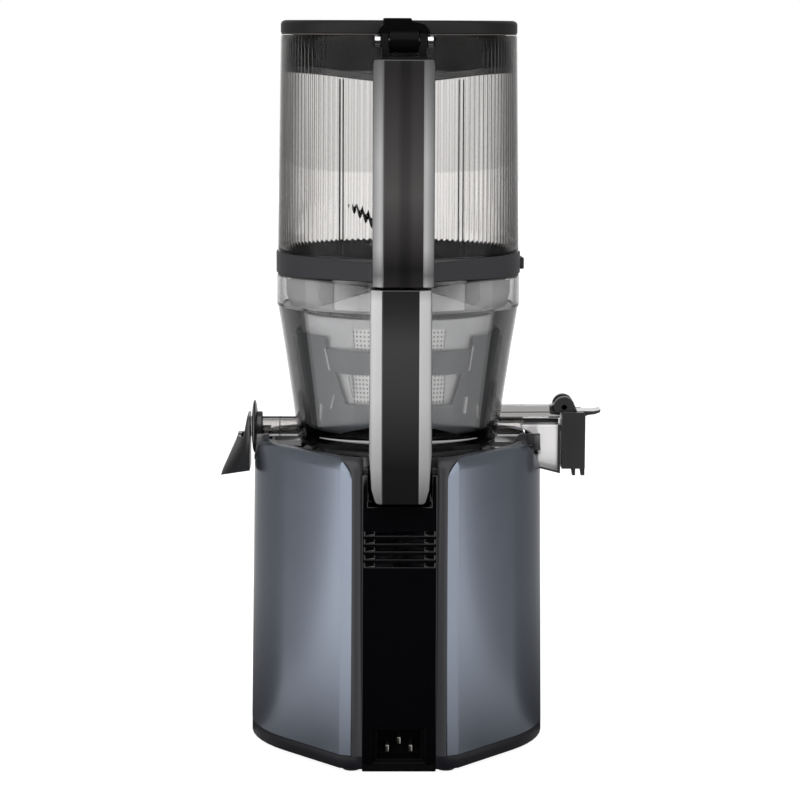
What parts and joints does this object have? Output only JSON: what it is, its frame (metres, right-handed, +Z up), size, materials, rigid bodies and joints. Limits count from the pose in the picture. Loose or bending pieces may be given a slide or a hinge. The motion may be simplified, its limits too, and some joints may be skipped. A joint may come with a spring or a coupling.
{
  "type": "cold press juicer",
  "caption": "Upright slow juicer: motor base with gear train, juice bowl with screw, strainer and spinning wiper, wide clear hopper with a hinged lid, and two handle bars.",
  "frame": {"origin": "on the worktop, under the axis that the screw, bowl and output shaft share", "axes": "+Z up along the screw axis, -Y to the side with the handles and the mains inlet, +X to the juice spout, -X to the pulp outlet"},
  "size_m": [0.2296, 0.2005, 0.4339],
  "materials": {
    "shell_paint": "metallic blue-grey paint under clear coat",
    "black_plastic": "black moulded plastic, fine texture",
    "grey_trim": "dark grey moulded plastic, satin",
    "gloss_black": "polished black plastic",
    "rubber_grey": "soft rubber",
    "silicone_pale": "pale silicone",
    "silicone_red": "red silicone",
    "steel_bright": "polished steel",
    "steel_zinc": "zinc-plated steel",
    "cast_alloy": "die-cast aluminium",
    "core_steel": "laminated core steel",
    "copper": "enamelled copper wire",
    "board_green": "solder-masked board",
    "capacitor_shell": "drawn aluminium can",
    "fan_plastic": "moulded plastic",
    "bezel_metal": "satin metal ring",
    "gear_acetal": "ivory acetal",
    "gear_steel": "sintered steel",
    "smoked_clear": "smoked clear plastic",
    "hopper_clear": "lightly smoked fluted clear plastic",
    "grip_smoked": "dark smoked plastic",
    "rod_black": "black plastic",
    "lid_dark": "matte near-black plastic",
    "cage_slate": "dark slate plastic",
    "sieve_steel": "pierced stainless sheet"
  },
  "bodies": {
    "base": {"base_plate": "black_plastic", "feet": "rubber_grey", "outer_shell": "shell_paint", "spine_frame": "grey_trim", "rear_spine": "gloss_black", "top_deck": "black_plastic", "deck_seal": "rubber_grey", "power_inlet": "gloss_black", "inlet_pins": "steel_bright", "control_board": "board_green", "run_capacitor": "capacitor_shell", "case_screws": "steel_zinc", "motor_cradle": "cast_alloy", "motor_dampers": "rubber_grey", "motor_stator": "core_steel", "motor_coils": "copper", "gearbox_case": "cast_alloy", "gearbox_lid": "cast_alloy", "gear_axles": "steel_bright", "output_bearings": "steel_bright", "gearbox_screws": "steel_zinc", "dial_bezel": "bezel_metal", "dial_switch": "fan_plastic"},
    "motor": {"motor_shaft": "steel_bright", "motor_rotor": "core_steel", "cooling_fan": "fan_plastic"},
    "gear_one": {"first_gear": "gear_acetal"},
    "gear_two": {"second_gear": "gear_acetal"},
    "drive": {"output_gear": "gear_steel", "drive_shaft": "steel_bright"},
    "dial": {"control_dial": "grey_trim"},
    "bowl": {"juice_bowl": "smoked_clear", "bowl_handle": "grip_smoked", "bowl_drive_seal": "silicone_red", "idler_pins": "steel_bright", "strainer_frame": "cage_slate", "strainer_mesh": "sieve_steel", "juice_spout": "smoked_clear", "cap_pin": "steel_bright", "pulp_chute": "black_plastic"},
    "wiper": {"wiper_frame": "cage_slate", "wiper_blades": "silicone_pale"},
    "idler_left": {"idler_gear_left": "gear_acetal"},
    "idler_right": {"idler_gear_right": "gear_acetal"},
    "auger": {"auger_screw": "black_plastic", "auger_drive_gear": "gear_acetal", "cutting_wing": "black_plastic"},
    "cap": {"juice_cap": "black_plastic", "cap_seal": "silicone_pale"},
    "pulp_control": {"pulp_ring": "black_plastic"},
    "hopper": {"hopper_wall": "hopper_clear", "hopper_ring": "grey_trim", "hopper_skirt": "grey_trim", "hopper_seal": "rubber_grey", "hopper_handle": "grip_smoked", "hinge_pin": "steel_bright"},
    "interlock": {"interlock_rod": "rod_black"},
    "lid": {"lid_panel": "lid_dark", "lid_skirt": "lid_dark", "lid_seal": "rubber_grey"}
  },
  "joints": [
    {"name": "motor_spin", "type": "hinge", "parent": "base", "child": "motor", "pos_m": [-0.01429, 0.00559, 0.06], "axis": [0, 0, 1], "continuous": true},
    {"name": "gear_one_spin", "type": "hinge", "parent": "base", "child": "gear_one", "pos_m": [-0.01013, 0.02923, 0.111], "axis": [0, 0, 1], "continuous": true},
    {"name": "gear_two_spin", "type": "hinge", "parent": "base", "child": "gear_two", "pos_m": [0.01688, 0.02923, 0.121], "axis": [0, 0, 1], "continuous": true},
    {"name": "drive_spin", "type": "hinge", "parent": "base", "child": "drive", "pos_m": [0, 0, 0.15], "axis": [0, 0, 1], "continuous": true},
    {"name": "dial_turn", "type": "hinge", "parent": "base", "child": "dial", "pos_m": [0, 0.085, 0.08], "axis": [0, 1, 0], "range_deg": [-50, 50]},
    {"name": "bowl_lift", "type": "slide", "parent": "base", "child": "bowl", "axis": [0, 0, 1], "range_m": [0, 0.04]},
    {"name": "auger_spin", "type": "hinge", "parent": "bowl", "child": "auger", "pos_m": [0, 0, 0.25], "axis": [0, 0, 1], "continuous": true},
    {"name": "idler_left_spin", "type": "hinge", "parent": "bowl", "child": "idler_left", "pos_m": [-0.0255, 0, 0.187], "axis": [0, 0, 1], "continuous": true},
    {"name": "idler_right_spin", "type": "hinge", "parent": "bowl", "child": "idler_right", "pos_m": [0.0255, 0, 0.187], "axis": [0, 0, 1], "continuous": true},
    {"name": "wiper_spin", "type": "hinge", "parent": "bowl", "child": "wiper", "pos_m": [0, 0, 0.22], "axis": [0, 0, 1], "continuous": true},
    {"name": "cap_hinge", "type": "hinge", "parent": "bowl", "child": "cap", "pos_m": [0.1004, 0, 0.2019], "axis": [0, -1, 0], "range_deg": [0, 100]},
    {"name": "pulp_ring_turn", "type": "hinge", "parent": "bowl", "child": "pulp_control", "pos_m": [-0.086, 0, 0.1889], "axis": [1, 0, 0], "range_deg": [0, 90]},
    {"name": "hopper_lift", "type": "slide", "parent": "bowl", "child": "hopper", "axis": [0, 0, 1], "range_m": [0, 0.07]},
    {"name": "lid_hinge", "type": "hinge", "parent": "hopper", "child": "lid", "pos_m": [0, -0.096, 0.421], "axis": [1, 0, 0], "range_deg": [0, 95]},
    {"name": "interlock_slide", "type": "slide", "parent": "hopper", "child": "interlock", "axis": [0, 0, 1], "range_m": [0, 0.004]}
  ],
  "couplings": [
    {"joint": "gear_one_spin", "follows": "motor_spin", "ratio": -0.25},
    {"joint": "gear_two_spin", "follows": "motor_spin", "ratio": 0.071429},
    {"joint": "drive_spin", "follows": "motor_spin", "ratio": -0.025},
    {"joint": "auger_spin", "follows": "motor_spin", "ratio": -0.025},
    {"joint": "idler_left_spin", "follows": "motor_spin", "ratio": 0.028125},
    {"joint": "idler_right_spin", "follows": "motor_spin", "ratio": 0.028125},
    {"joint": "wiper_spin", "follows": "motor_spin", "ratio": 0.009},
    {"joint": "interlock_slide", "follows": "lid_hinge", "m_per_rad": 0.0023}
  ]
}
